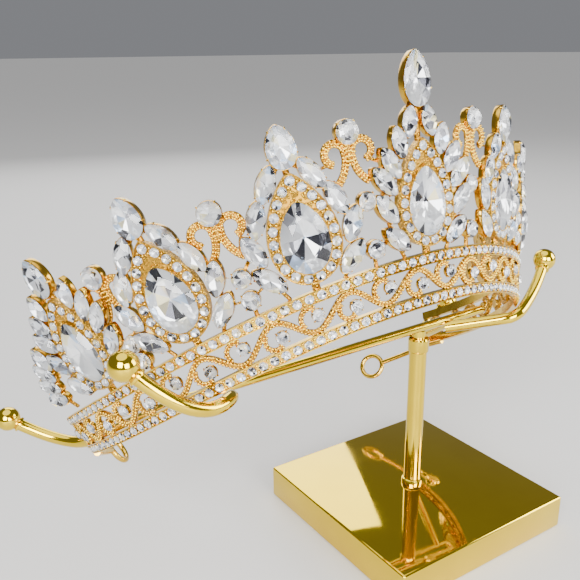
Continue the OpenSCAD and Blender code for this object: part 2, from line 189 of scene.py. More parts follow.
# Grains: how far beside the middle line and how high they sit; for the wave, shares of its width
ROW_GRAIN_OFF = 0.85
ROW_GRAIN_UP = ROW_FRONT - 0.18
HALO_GRAIN_OFF = 0.7
HALO_GRAIN_UP = HALO_FRONT - 0.35
HALO_GRAIN_SIZE = 1.05
WAVE_GRAIN_OFF = 0.25
WAVE_GRAIN_UP = 0.36

# Wires between the settings: diameter, and height over the flat work's own plane
TIE_D = 1.1
TIE_SPOTS = ((4, -0.5), (3.2, -5.5))
TIE_FRONT = -0.8
TIE_BACK = LEAF_BACK + 0.3
LINK = (1.1, -0.9)
GAP_FOOT = (1.2, -0.9)
GAP_STEM = (1.9, -0.7)
MOTIF_FOOT = (2.2, -0.6)
MOTIF_STEM = (1.7, -0.6)
LINK_FOOT = 7
WING_FOOT = 19

# The wave between the two stone rows
WAVE_LOW = ROW_W - 0.3
WAVE_HIGH = BAND_H - ROW_W + 0.3
WAVE_MID = (WAVE_LOW + WAVE_HIGH) / 2
WAVE_W = 1.8
ROUND_COUNT = 28
ROUND_OFFSET = 0.8
ROUND_LEAD = 0.12
CURL_R = 2.8
CURL_W = 1.5
CURL_MIDDLE = (-1.9, 0.1)
CURL_FROM = 220
CURL_TO = 60
CURL_SHRINK = 0.5
BAND_SHIFT = -0.5
WAVE_OUT = -0.1
WAVE_STEPS = 10
BAND_R = RING_R + WAVE_MID * math.sin(math.radians(FLARE))
ROUND_SPACE = math.radians(ROUND_PITCH) * BAND_R

# Stand, in the crown's own frame where the head is meant
BASE_SIDE = 75
BASE_THICK = 12
POST_D = 6.1
POST_TOP = 65
COLLAR_D = 7.2
RAIL_D = 3
RAIL_PITCH = 5.2
RAIL_Y = -25.5
RAIL_Z = 1.5
RAIL_LEFT = -60.5
RAIL_RIGHT = 65
ARM_D = 3.9
BALL_D = 8
NECK_D = 4.6
NECK_H = 2.6
NECK_LOW = POST_TOP + 4.6
ARMS = [
    ((-56, -22.9, 1.5), (-72.4, 27.4, -0.6), (-79, 39, 2), (-92.3, 39.7, 15)),
    ((-43, -27.6, -0.9), (-52.5, -49.5, -2.3), (-66, -56, -9), (-78.8, -54.1, 12.2)),
    ((43, -27.6, -0.9), (60.5, -44, -5.2), (77, -41.5, 1), (86.5, -41.7, 11.5)),
    ((56, -22.9, 1.5), (72.4, 27.4, -0.6), (83, 36, 2), (93.8, 21.9, 10.8)),
]

# The camera that took the photograph
CAMERA_POS = (-166.82, -172.65, 164.67)
CAMERA_TURN = (71.807, 0.536, -33.523)
CAMERA_LENS = 45.483
CAMERA_SENSOR = 36

# Stage: each light's name, kind, place in metres, size or angle, and power, then what they aim at
LIGHTS = [
    ("key_light", "AREA", (-0.65, -0.55, 0.5), 0.5, 18),
    ("front_light", "AREA", (-0.05, -0.95, 0.4), 0.5, 15),
    ("right_light", "AREA", (0.75, -0.4, 0.4), 0.5, 10),
    ("back_light", "AREA", (0.2, 0.8, 0.5), 0.6, 5),
    ("room_light", "SUN", (-0.2, 0.1, 2), math.radians(60), 1.7),
]
LIGHT_AIM = (-0.03, 0.0, 0.08)
SKY = (0.22, 0.225, 0.24, 1)
FLOOR_SIDE = 40


def length_prop(name, description, default, low, high):
    """A length in metres, shown in the scene's units."""
    return bpy.props.FloatProperty(
        name=name, description=description, default=default, min=low, max=high,
        unit="LENGTH", subtype="DISTANCE", precision=5)


def colour_prop(name, description, default):
    return bpy.props.FloatVectorProperty(
        name=name, description=description, default=default, size=3, min=0, max=1, subtype="COLOR")


class CrownSizes(bpy.types.PropertyGroup):
    """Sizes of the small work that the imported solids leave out."""

    row_stone: length_prop("Row stone", "Diameter of the stones in the two rows", 0.0024, 0.0018, 0.0026)
    row_pitch: length_prop("Row pitch", "Distance between the small stones of a row", 0.0032, 0.0026, 0.0036)
    halo_stone: length_prop("Halo stone", "Diameter of the small stones of a halo", 0.0025, 0.0018, 0.0026)
    halo_pitch: length_prop("Halo pitch", "Distance between the stones of a halo", 0.00325, 0.0027, 0.004)
    rim: length_prop("Rim width", "Width of the raised rims of rows and halos", 0.0003, 0.0002, 0.0005)
    grain: length_prop("Grain", "Diameter of the grains on wires and between stones", 0.0009, 0.0005, 0.0011)
    grain_pitch: length_prop("Grain pitch", "Distance between neighbouring grains", 0.001, 0.0006, 0.0014)
    claw: length_prop("Claw", "Diameter of the claws that hold the stones", 0.00055, 0.0004, 0.001)


class CrownColours(bpy.types.PropertyGroup):
    """Colours of the metals, the stones and the floor."""

    stand_gold: colour_prop("Stand gold", "Polished gold plate of the stand", (0.8, 0.57, 0.03))
    crown_gold: colour_prop("Crown gold", "Bright gold plate of the crown", (0.85, 0.56, 0.06))
    # Deep gold is painted shade where it fills the hollows between grains and darkens the cups, and a random
    # darker tone in the polish marks.
    deep_gold: colour_prop("Deep gold", "Gold in the recesses and worn places", (0.4, 0.19, 0.015))
    crystal: colour_prop("Crystal", "Clear glass of the cut stones", (0.97, 0.985, 1))
    floor: colour_prop("Floor", "Plain floor", (0.56, 0.55, 0.535))


def sizes():
    return bpy.context.scene.crown_sizes


def colours():
    return bpy.context.scene.crown_colours


# Places on the crown


def cosd(a):
    return math.cos(math.radians(a))


def sind(a):
    return math.sin(math.radians(a))


def turn(axis, angle):
    return Matrix.Rotation(math.radians(angle), 4, axis)


def shift(x, y, z=0):
    return Matrix.Translation((x, y, z))


WORLD = Matrix.Scale(MM, 4)
CROWN = WORLD @ shift(*CROWN_POS) @ turn("Y", CROWN_ROLL) @ turn("X", CROWN_LEAN)


def wall_r(height):
    """Radius of the wall's middle surface."""
    return RING_R + height * sind(FLARE)


def rise(angle):
    """Rise of the whole wall at an angle."""
    return ARCH * cosd(2 * angle)


def turn_of(across):
    """Angle that a length across takes up on the band."""
    return math.degrees(across / BAND_R)


def wall_point(angle, height, out):
    """Point on the wall in the crown's own frame."""
    r = wall_r(height) + out * cosd(FLARE)
    return Vector((
        r * sind(angle), -r * cosd(angle), height * cosd(FLARE) - out * sind(FLARE) + rise(angle)))


def on_wall(angle, height):
    """Frame of flat work on the wall, x across, y up the slope and z outward."""
    place = shift(0, -wall_r(height), height * cosd(FLARE) + rise(angle))
    return turn("Z", angle) @ place @ turn("X", 90 + FLARE)


def on_plane(angle, out):
    return on_wall(angle, 0) @ shift(0, 0, out)


def on_motif(m):
    angle, _, lean = MOTIFS[m]
    return on_plane(angle, MOTIF_OUT) @ shift(0, HALO_BASE) @ turn("Z", lean) @ shift(0, -HALO_BASE)


def on_band(across, up):
    return on_wall(turn_of(across), up)


def has_wing(m, side):
    return (m == 0 and side < 0) or (m == MOTIF_COUNT - 1 and side > 0)


def motif_leaves(m):
    return FLAME_LEAVES if MOTIFS[m][1] else CALM_LEAVES


def side_leaves(m, side):
    """All leaves of a motif on one side."""
    crest = [CREST_LEAF] if m == MIDDLE else []
    return crest + motif_leaves(m) + (WING_LEAVES if has_wing(m, side) else [])


def leaf_middle(leaf):
    return ((leaf[0][0] + leaf[1][0]) / 2, (leaf[0][1] + leaf[1][1]) / 2)


def leaf_length(leaf):
    return math.dist(leaf[0], leaf[1])


def leaf_frame(leaf, side):
    """Frame of a leaf, its length along x."""
    x, y = leaf_middle(leaf)
    run = (side * (leaf[1][0] - leaf[0][0]), leaf[1][1] - leaf[0][1])
    return shift(side * x, y) @ turn("Z", math.degrees(math.atan2(run[1], run[0])))


def pear_size(m):
    """Width, length and lower end of the pear stone on top of a motif."""
    if m == MIDDLE:
        return 9, 14.2, 51
    return (8, 11.4, 44) if MOTIFS[m][1] else (7.5, 10.8, 44.1)


# Outlines of stones and settings


def drop_point(share, w, l, sharp=STONE_POINT):
    t = 360 * share
    s = math.sqrt((1 + sharp) / (2 + sharp))
    peak = 2 * s * math.sqrt(1 - s * s) * s ** sharp
    return -w / 2 * sind(t) * abs(sind(t / 2)) ** sharp / peak, l / 2 * cosd(t)


def halo_point(share, w, l):
    return drop_point(share, w, l, HALO_POINT)


def leaf_point(share, w, l):
    t = 360 * share
    return l / 2 * cosd(t), math.copysign(w / 2 * abs(sind(t)) ** LEAF_POINT, sind(t))


def round_point(share, w, l):
    return w / 2 * cosd(360 * share), l / 2 * sind(360 * share)


def outline(point, w, l, count, start=0.0, middle=0):
    return [(x, y + middle) for x, y in (point(((i + start) / count) % 1, w, l) for i in range(count))]


def bezier(p, q, r, steps):
    p, q, r = Vector(p), Vector(q), Vector(r)
    made = []
    for i in range(steps + 1):
        t = i / steps
        made.append((1 - t) ** 2 * p + 2 * t * (1 - t) * q + t * t * r)
    return made


def arc(centre, r0, r1, first, last, steps):
    made = []
    for i in range(steps + 1):
        t = i / steps
        a, r = first + (last - first) * t, r0 + (r1 - r0) * t
        made.append(Vector((centre[0] + r * cosd(a), centre[1] + r * sind(a))))
    return made


def evenly(path, pitch, closed=False):
    """Points at equal distances along a path, each with its direction."""
    points = [Vector(p) for p in path]
    if closed:
        points.append(points[0])
    runs = [(b - a).length for a, b in zip(points, points[1:])]
    total = sum(runs)
    count = max(2, round(total / pitch))
    last = count if closed else count + 1
    made, walked, k = [], 0.0, 0
    for i in range(last):
        goal = total * i / count
        while k < len(runs) - 1 and walked + runs[k] < goal:
            walked += runs[k]
            k += 1
        way = points[k + 1] - points[k]
        made.append((points[k] + way * ((goal - walked) / runs[k]), way.normalized()))
    return made


# Work at the bench


def clear():
    if bpy.context.object and bpy.context.object.mode != "OBJECT":
        bpy.ops.object.mode_set(mode="OBJECT")
    bpy.ops.object.select_all(action="DESELECT")


def take(*pieces):
    """Selects these pieces alone."""
    clear()
    for piece in pieces:
        piece.select_set(True)
    bpy.context.view_layer.objects.active = pieces[-1]


def open_piece(piece):
    take(piece)
    bpy.ops.object.mode_set(mode="EDIT")
    bpy.ops.mesh.select_all(action="SELECT")


def close_piece():
    """Ends the work in edit mode with all faces pointing outward."""
    bpy.ops.mesh.select_all(action="SELECT")
    bpy.ops.mesh.normals_make_consistent(inside=False)
    bpy.ops.object.mode_set(mode="OBJECT")


def plate(points, height=0):
    """A flat sheet with this outline."""
    clear()
    bpy.ops.mesh.primitive_circle_add(vertices=len(points), radius=1, fill_type="NGON")
    piece = bpy.context.object
    for vertex, p in zip(piece.data.vertices, points):
        vertex.co = (p[0], p[1], height)
    return piece


def raise_steps(piece, steps):
    """Builds a solid from a sheet; a step is width, length, middle and height of an outline."""
    open_piece(piece)
    w, l, y, z = steps[0]
    for next_w, next_l, next_y, next_z in steps[1:]:
        bpy.ops.mesh.extrude_region_move(TRANSFORM_OT_translate={"value": (0, next_y - y, next_z - z)})
        if (next_w, next_l) != (w, l):
            bpy.ops.transform.resize(value=(next_w / w, next_l / l, 1), center_override=(0, next_y, next_z))
        w, l, y, z = next_w, next_l, next_y, next_z
    close_piece()
    return piece


def loft(outlines):
    """Builds a closed solid through a row of outlines, each as its points and its height."""
    points, z = outlines[0]
    piece = plate(points, z)
    open_piece(piece)
    for next_points, next_z in outlines[1:]:
        bpy.ops.mesh.extrude_region_move(TRANSFORM_OT_translate={"value": (0, 0, next_z - z)})
        sheet = bmesh.from_edit_mesh(piece.data)
        for vertex in [v for v in sheet.verts if v.select]:
            at = min(range(len(points)), key=lambda i: (vertex.co.xy - Vector(points[i])).length_squared)
            vertex.co.xy = next_points[at]
        bmesh.update_edit_mesh(piece.data)
        points, z = next_points, next_z
    close_piece()
    return piece


def soften(piece, width, segments, angle=35):
    take(piece)
    bevel = piece.modifiers.new("Soft edges", "BEVEL")
    bevel.width = width
    bevel.segments = segments
    bevel.limit_method = "ANGLE"
    bevel.angle_limit = math.radians(angle)
    bpy.ops.object.modifier_apply(modifier=bevel.name)
    return piece


def smooth(piece, angle):
    take(piece)
    bpy.ops.object.shade_smooth_by_angle(angle=math.radians(angle))
    return piece


def wire(points, d, sides, closed=False):
    """A round wire along a list of points."""
    clear()
    curve = bpy.data.curves.new("wire", "CURVE")
    curve.dimensions = "3D"
    curve.bevel_depth = d / 2
    curve.bevel_resolution = max(0, sides // 2 - 2)
    curve.use_fill_caps = True
    curve.twist_mode = "MINIMUM"
    spline = curve.splines.new("POLY")
    spline.points.add(len(points) - 1)
    for point, p in zip(spline.points, points):
        point.co = (p[0], p[1], p[2], 1)
    spline.use_cyclic_u = closed
    piece = bpy.data.objects.new("wire", curve)
    bpy.context.collection.objects.link(piece)
    take(piece)
    bpy.ops.object.convert(target="MESH")
    open_piece(bpy.context.object)
    bpy.ops.mesh.remove_doubles(threshold=0.001)
    close_piece()
    return bpy.context.object


def lay(piece, matrix):
    """Puts a piece's mesh in its place."""
    piece.data.transform(matrix)
    piece.matrix_world = Matrix.Identity(4)
    return piece


def joined(pieces):
    take(*pieces)
    bpy.ops.object.join()
    return bpy.context.object


def placed(master, places):
    """Copies of a master, which is used up."""
    made = []
    for matrix in places:
        mesh = master.data.copy()
        mesh.transform(matrix)
        piece = bpy.data.objects.new("copy", mesh)
        bpy.context.collection.objects.link(piece)
        made.append(piece)
    bpy.data.objects.remove(master)
    return made


def copies(master, places):
    return joined(placed(master, places))


def finish(piece, name, finish_name=None, replaces=()):
    """Names a piece, gives it its finish and ties it to the model."""
    piece.name = name
    piece.data.name = name
    if finish_name:
        piece.data.materials.append(material(finish_name))
    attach(piece, "root")
    if replaces:
        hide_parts(*replaces)
    return piece


def set_grains(name, places, size=1):
    """One piece made of all these small grains of metal."""
    clear()
    bpy.ops.mesh.primitive_ico_sphere_add(subdivisions=1, radius=sizes().grain / MM * size / 2)
    finish(copies(smooth(bpy.context.object, 80), places), name, "bright_gold")


# Cut stones


def gem(point, w, l, cut, count):
    """A cut stone: table, star and kite facets above the girdle, two rows of facets below it."""
    girdle, table, tip = cut
    up, down = table - girdle, girdle - tip
    rings = [
        (TABLE_SIZE, table, count, 0),
        (STAR_SIZE, girdle + 0.6 * up, count, 0.5),
        (1, girdle + GIRDLE_HALF, 2 * count, 0),
        (1, girdle - GIRDLE_HALF, 2 * count, 0),
        (LOWER_SIZE, girdle - 0.56 * down, count, 0.5),
        (POINT_SIZE, tip, 4, 0),
    ]
    piece = plate(outline(point, w * TABLE_SIZE, l * TABLE_SIZE, count), table)
    open_piece(piece)
    for size, height, number, start in rings[1:]:
        bpy.ops.mesh.select_all(action="DESELECT")
        bpy.ops.mesh.primitive_circle_add(vertices=number, radius=1)
        sheet = bmesh.from_edit_mesh(piece.data)
        added = sorted((v for v in sheet.verts if v.select), key=lambda v: v.index)
        for vertex, p in zip(added, outline(point, w * size, l * size, number, start)):
            vertex.co = (p[0], p[1], height)
        bmesh.update_edit_mesh(piece.data)
    bpy.ops.mesh.select_all(action="SELECT")
    bpy.ops.mesh.convex_hull()
    bpy.ops.mesh.select_all(action="SELECT")
    bpy.ops.mesh.dissolve_limited(angle_limit=math.radians(0.6))
    close_piece()
    piece.data.materials.append(material("cut_crystal"))
    piece.data.materials.append(material("foil_back"))
    for face in piece.data.polygons:
        if face.center.z < girdle - 0.9 * GIRDLE_HALF:
            face.material_index = 1
    return piece


def tint_facets(piece, seed):
    """Gives every one of a stone's facets its own colour at random: the foil's own white on some, painted
    reflections and fire in grey, near-black, blue and yellow on the others.
    """
    chance = random.Random(seed)
    # Painted reflections and fire beside the foil's own white, picked for each facet at random.
    foil_and_glint_shades = [shade for shade, _ in FOIL_AND_PAINTED_GLINTS]
    weights = [weight for _, weight in FOIL_AND_PAINTED_GLINTS]
    layer = piece.data.attributes.new("facet", "FLOAT_COLOR", "CORNER")
    for face in piece.data.polygons:
        shade = chance.choices(foil_and_glint_shades, weights)[0]
        for corner in face.loop_indices:
            layer.data[corner].color = (*shade, 1)
    return piece


def set_stones(name, groups, replaces=()):
    """Places stones, each group as a master and its places, and joins them to one piece."""
    made = []
    for master, places in groups:
        for piece in placed(master, places):
            made.append(tint_facets(piece, name + str(len(made))))
    return finish(joined(made), name, None, replaces)


# Finishes


def new_group(name, values):
    """An empty surface group: its inputs with their first values, a Mask and a Height."""
    group = bpy.data.node_groups.new(name, "ShaderNodeTree")
    for label, value in values.items():
        made = group.interface.new_socket(name=label, in_out="INPUT", socket_type="NodeSocketFloat")
        made.default_value = value
    for label in ("Mask", "Height"):
        group.interface.new_socket(name=label, in_out="OUTPUT", socket_type="NodeSocketFloat")
    return group


def set_inputs(node, values):
    for label, value in values.items():
        node.inputs[label].default_value = value
    return node


def polish_group():
    """Faint marks of polishing and plating: a mask for colour and roughness, and a height for the bump."""
    group = new_group("Polish marks", {"Size": 300, "Grain": 2500})
    nodes, links = group.nodes, group.links
    start, end = nodes.new("NodeGroupInput"), nodes.new("NodeGroupOutput")
    place = nodes.new("ShaderNodeTexCoord")
    broad = set_inputs(nodes.new("ShaderNodeTexNoise"), {"Detail": 3})
    fine = set_inputs(nodes.new("ShaderNodeTexNoise"), {"Detail": 4})
    mask = set_inputs(nodes.new("ShaderNodeMapRange"), {"From Min": 0.35, "From Max": 0.65})
    links.new(place.outputs["Object"], broad.inputs["Vector"])
    links.new(place.outputs["Object"], fine.inputs["Vector"])
    links.new(start.outputs["Size"], broad.inputs["Scale"])
    links.new(start.outputs["Grain"], fine.inputs["Scale"])
    links.new(broad.outputs["Fac"], mask.inputs["Value"])
    links.new(mask.outputs["Result"], end.inputs["Mask"])
    links.new(fine.outputs["Fac"], end.inputs["Height"])
    return group


def grain_group():
    """Small round grains pressed side by side: a mask of the hollows between them, which paints shade there
    as deeper gold and sets their roughness, and their height.
    """
    group = new_group("Grains", {"Size": 1200})
    nodes, links = group.nodes, group.links
    start, end = nodes.new("NodeGroupInput"), nodes.new("NodeGroupOutput")
    place = nodes.new("ShaderNodeTexCoord")
    cells = nodes.new("ShaderNodeTexVoronoi")
    # Painted shade: the hollows between the grains get the deep gold.
    hollow_shade = set_inputs(nodes.new("ShaderNodeMapRange"), {"From Min": 0.22, "From Max": 0.55})
    dome = set_inputs(nodes.new("ShaderNodeMapRange"), {"From Min": 0.65, "From Max": 0.1})
    dome.interpolation_type = "SMOOTHERSTEP"
    links.new(place.outputs["Object"], cells.inputs["Vector"])
    links.new(start.outputs["Size"], cells.inputs["Scale"])
    links.new(cells.outputs["Distance"], hollow_shade.inputs["Value"])
    links.new(cells.outputs["Distance"], dome.inputs["Value"])
    links.new(hollow_shade.outputs["Result"], end.inputs["Mask"])
    links.new(dome.outputs["Result"], end.inputs["Height"])
    return group


SURFACES = {"Polish marks": polish_group, "Grains": grain_group}


def surface(nodes, name, values):
    """Places a surface group, made when it is first asked for, with this material's own values."""
    made = nodes.new("ShaderNodeGroup")
    made.node_tree = bpy.data.node_groups.get(name) or SURFACES[name]()
    return set_inputs(made, values)


def new_material(name, values):
    """A material, its nodes and links, and its shader with these plain values."""
    made = bpy.data.materials.new(name)
    made.use_nodes = True
    nodes, links = made.node_tree.nodes, made.node_tree.links
    return made, nodes, links, set_inputs(nodes["Principled BSDF"], values)


def mixed(first, second, share):
    return tuple(a * (1 - share) + b * share for a, b in zip(first, second))


def blend_colours(nodes, links, mask, first, second):
    mix = nodes.new("ShaderNodeMix")
    mix.data_type = "RGBA"
    mix.inputs["A"].default_value = (*first, 1)
    mix.inputs["B"].default_value = (*second, 1)
    links.new(mask, mix.inputs["Factor"])
    return mix.outputs["Result"]


# Golds: colour, shares of deep gold in raised and low places (painted shade in the hollows between grains, a
# random darker tone in polish marks), surface with its values, roughness in raised and low places, strength
# of the relief and its depth in metres
POLISH_DEPTH = 0.0002
GRAIN_DEPTH = 0.0004
FINE_POLISH = {"Size": 350, "Grain": 2600}
GOLDS = {
    "polished_gold": (
        "stand_gold", (0, 0.12), "Polish marks", {"Size": 90, "Grain": 900},
        (0.07, 0.13), 0.02, POLISH_DEPTH),
    "mirror_gold": (
        "stand_gold", (0, 0.1), "Polish marks", {"Size": 60, "Grain": 700}, (0.03, 0.07), 0.01, POLISH_DEPTH),
    "bright_gold": ("crown_gold", (0, 0.5), "Polish marks", FINE_POLISH, (0.1, 0.22), 0.1, POLISH_DEPTH),
    # Cups: crown gold mixed with deep gold all over, as painted shade on their sides, and darker still in
    # random polish patches.
    "shaded_gold": ("crown_gold", (0.35, 0.8), "Polish marks", FINE_POLISH, (0.12, 0.24), 0.1, POLISH_DEPTH),
    # Grained and hammered gold: the hollows between the grains are fully deep gold, which is painted shade.
    "grained_gold": ("crown_gold", (0.15, 1), "Grains", {"Size": 1100}, (0.12, 0.3), 1, GRAIN_DEPTH),
    "hammered_gold": ("crown_gold", (0, 0.85), "Grains", {"Size": 1500}, (0.2, 0.35), 1, GRAIN_DEPTH),
}


def plated(name):
    """Plated metal whose colour, polish and relief follow its surface group. The deep gold in its colour is
    painted shade in the hollows between grains and on the cups, and a random darker tone in polish marks.
    """
    shade, shares, group, values, rough, strength, depth = GOLDS[name]
    made, nodes, links, shader = new_material(name, {"Metallic": 1})
    gold, deep = tuple(getattr(colours(), shade)), tuple(colours().deep_gold)
    marks = surface(nodes, group, values)
    mask = marks.outputs["Mask"]
    high, low = (mixed(gold, deep, share) for share in shares)
    links.new(blend_colours(nodes, links, mask, high, low), shader.inputs["Base Color"])
    spread = set_inputs(nodes.new("ShaderNodeMapRange"), {"To Min": rough[0], "To Max": rough[1]})
    links.new(mask, spread.inputs["Value"])
    links.new(spread.outputs["Result"], shader.inputs["Roughness"])
    relief = set_inputs(nodes.new("ShaderNodeBump"), {"Strength": strength, "Distance": depth})
    links.new(marks.outputs["Height"], relief.inputs["Height"])
    links.new(relief.outputs["Normal"], shader.inputs["Normal"])
    return made


def tinted(name, shade, other, share, marks, values):
    """A plain finish whose colour varies a little toward another."""
    made, nodes, links, shader = new_material(name, values)
    mask = surface(nodes, "Polish marks", marks).outputs["Mask"]
    shade = tuple(shade)
    colour = blend_colours(nodes, links, mask, shade, mixed(shade, other, share))
    links.new(colour, shader.inputs["Base Color"])
    return made


def cut_crystal():
    """Clear glass of the facets in front."""
    return tinted(
        "cut_crystal", colours().crystal, (0.9, 0.93, 0.97), 0.4, {"Size": 200, "Grain": 3000},
        {"Transmission Weight": 1, "Roughness": 0.01, "IOR": 1.56})


def foil_back():
    """Silvered backs of the facets, each with the colour kept in its corners: the foil's own white on some
    facets, painted reflections and fire on the others.
    """
    made, nodes, links, shader = new_material("foil_back", {"Metallic": 0.55, "Roughness": 0.05})
    facet = nodes.new("ShaderNodeAttribute")
    facet.attribute_name = "facet"
    links.new(facet.outputs["Color"], shader.inputs["Base Color"])
    return made


def floor_paint():
    return tinted(
        "floor", colours().floor, (0.5, 0.5, 0.5), 0.06, {"Size": 14, "Grain": 900}, {"Roughness": 0.55})


OTHER_FINISHES = {"cut_crystal": cut_crystal, "foil_back": foil_back, "floor": floor_paint}


def material(name):
    """The named finish, made when it is first asked for."""
    known = bpy.data.materials.get(name)
    if known:
        return known
    return plated(name) if name in GOLDS else OTHER_FINISHES[name]()


# Pieces


class BasePlate(bpy.types.Operator):
    """Polishes the base plate and rounds its edges"""

    bl_idname = "crown.base_plate"
    bl_label = "Base plate"

    def execute(self, context):
        clear()
        bpy.ops.mesh.primitive_cube_add(size=1, location=(0, 0, 0))
        piece = bpy.context.object
        open_piece(piece)
        bpy.ops.transform.resize(value=(BASE_SIDE, BASE_SIDE, BASE_THICK), center_override=(0, 0, 0))
        bpy.ops.transform.translate(value=(0, 0, BASE_THICK / 2))
        close_piece()
        soften(piece, 0.8, 4)
        lay(smooth(piece, 30), WORLD)
        finish(piece, "base_plate", "mirror_gold", ["stand_base"])
        return {"FINISHED"}


class Post(bpy.types.Operator):
    """Turns the post with its foot ring and collar"""

    bl_idname = "crown.post"
    bl_label = "Post"

    def execute(self, context):
        foot = BASE_THICK + 0.1
        ring = POST_D + 1.6
        turned = [
            (ring, foot), (ring, foot + 1.2), (ring - 0.6, foot + 1.9),
            (POST_D + 0.2, foot + 2.1), (POST_D, foot + 2.5), (POST_D, POST_TOP - 1.2),
            (POST_D + 0.1, POST_TOP - 0.6), (COLLAR_D - 0.3, POST_TOP - 0.5), (COLLAR_D, POST_TOP - 0.2),
            (COLLAR_D, POST_TOP + 3.9), (COLLAR_D - 0.7, POST_TOP + 4.5),
        ]
        piece = plate(outline(round_point, ring, ring, 48), foot)
        raise_steps(piece, [(d, d, 0, z) for d, z in turned])
        lay(smooth(piece, 30), WORLD)
        finish(piece, "post", "polished_gold", ["stand_post"])
        return {"FINISHED"}


class Head(bpy.types.Operator):
    """Bends the two rails and the four arms with their balls"""

    bl_idname = "crown.head"
    bl_label = "Head"

    def execute(self, context):
        turn_r = RAIL_PITCH / 2
        left, right = RAIL_LEFT + turn_r, RAIL_RIGHT - turn_r - RAIL_D / 2
        path = [(left, RAIL_Y - turn_r, RAIL_Z)]
        for k in range(13):
            path.append((right + turn_r * sind(15 * k), RAIL_Y - turn_r * cosd(15 * k), RAIL_Z))
        for k in range(13):
            path.append((left - turn_r * sind(15 * k), RAIL_Y + turn_r * cosd(15 * k), RAIL_Z))
        made = [wire(path[1:], RAIL_D, 16, True)]
        for start, passing, bend, end in ARMS:
            points = [Vector(start), *bezier(passing, bend, end, 14)]
            points[1:1] = [points[0].lerp(points[1], t) for t in (0.25, 0.5, 0.75, 0.9)]
            for _ in range(3):
                points[5:-3] = [
                    (points[k - 1] + points[k] * 2 + points[k + 1]) / 4 for k in range(5, len(points) - 3)]
            made.append(wire(points, ARM_D, 16))
            way = (points[-1] - points[-3]).normalized()
            place = Matrix.Translation(points[-1]) @ way.to_track_quat("Z", "Y").to_matrix().to_4x4()
            clear()
            bpy.ops.mesh.primitive_uv_sphere_add(segments=32, ring_count=18, radius=BALL_D / 2)
            made.append(lay(bpy.context.object, place))
            low = -BALL_D / 2
            collar = plate(outline(round_point, ARM_D, ARM_D, 24), low - 0.7)
            raise_steps(collar, [
                (ARM_D + wide, ARM_D + wide, 0, low + z)
                for wide, z in ((0, -0.7), (1, -0.5), (1.2, 0.1), (0, 0.6))])
            made.append(lay(collar, place))
        head = lay(joined(made), CROWN)
        neck = plate(outline(round_point, NECK_D, NECK_D, 32), NECK_LOW)
        raise_steps(neck, [(NECK_D, NECK_D, 0, NECK_LOW), (NECK_D, NECK_D, 0, NECK_LOW + NECK_H)])
        head = joined([lay(neck, WORLD), head])
        smooth(head, 40)
        finish(head, "head_rails_and_arms", "polished_gold", ["stand_head"])
        return {"FINISHED"}


def spun_row(low):
    """One row of the band: a channel with a rim on each side."""
    rim = sizes().rim / MM
    profile = [
        (0, ROW_BACK), (ROW_W, ROW_BACK), (ROW_W, ROW_FRONT), (ROW_W - rim, ROW_FRONT),
        (ROW_W - rim - 0.1, ROW_FRONT - 0.5), (rim + 0.1, ROW_FRONT - 0.5), (rim, ROW_FRONT), (0, ROW_FRONT)]
    piece = plate(profile)
    for vertex, (up, out) in zip(piece.data.vertices, profile):
        vertex.co = wall_point(-BAND_END, low + up, out) - Vector((0, 0, rise(-BAND_END)))
    open_piece(piece)
    bpy.ops.mesh.spin(
        steps=84, angle=math.radians(2 * BAND_END), center=(0, 0, 0), axis=(0, 0, -1), use_normal_flip=False)
    bpy.ops.mesh.select_all(action="SELECT")
    bpy.ops.mesh.remove_doubles(threshold=0.001)
    close_piece()
    for vertex in piece.data.vertices:
        vertex.co.z += rise(math.degrees(math.atan2(vertex.co.x, -vertex.co.y)))
    return piece


def row_places(up):
    """Places of the stones of a row, as lengths across the band."""
    span = math.radians(BAND_END) * BAND_R - ROW_MARGIN
    count = round(2 * span / (sizes().row_pitch / MM))
    return [(-span + 2 * span * k / count, up) for k in range(count + 1)]


ROW_UPS = (ROW_W / 2, BAND_H - ROW_W / 2)


class Rows(bpy.types.Operator):
    """Spins the two stone rows of the band and sets grains between their stones"""

    bl_idname = "crown.rows"
    bl_label = "Stone rows"

    def execute(self, context):
        rows = [spun_row(0), spun_row(BAND_H - ROW_W)]
        side_bars = []
        for side in (-1, 1):
            across = side * (math.radians(BAND_END - 1) * BAND_R)
            ends = [(across - 1, 1), (across + 1, 1), (across + 1, BAND_H - 1), (across - 1, BAND_H - 1)]
            bar = plate(ends, ROW_BACK + 0.1)
            raise_steps(bar, [(2, 12, 0, ROW_BACK + 0.1), (2, 12, 0, ROW_FRONT - 0.1)])
            for vertex in bar.data.vertices:
                vertex.co = wall_point(turn_of(vertex.co.x), vertex.co.y, vertex.co.z)
            side_bars.append(bar)
        piece = lay(joined(rows + side_bars), CROWN)
        smooth(piece, 30)
        finish(piece, "band_rows", "bright_gold", ["crown_frame"])
        places = []
        for up in ROW_UPS:
            spots = row_places(up)
            pitch = spots[1][0] - spots[0][0]
            for across, _ in spots[:-1]:
                for offset in (-ROW_GRAIN_OFF, ROW_GRAIN_OFF):
                    place = on_band(across + pitch / 2, up + offset)
                    places.append(CROWN @ place @ shift(0, 0, ROW_GRAIN_UP))
        set_grains("row_grains", places)
        return {"FINISHED"}


def wave_path():
    """The wave's middle line, as lengths across and up the band."""
    swing = (WAVE_HIGH - WAVE_LOW - WAVE_W) / 2
    made = []
    for i in range(ROUND_COUNT * WAVE_STEPS + 1):
        k = i / WAVE_STEPS - ROUND_COUNT / 2 - BAND_SHIFT
        made.append(Vector(((k + BAND_SHIFT) * ROUND_SPACE, WAVE_MID + swing * cosd(180 * k))))
    return made


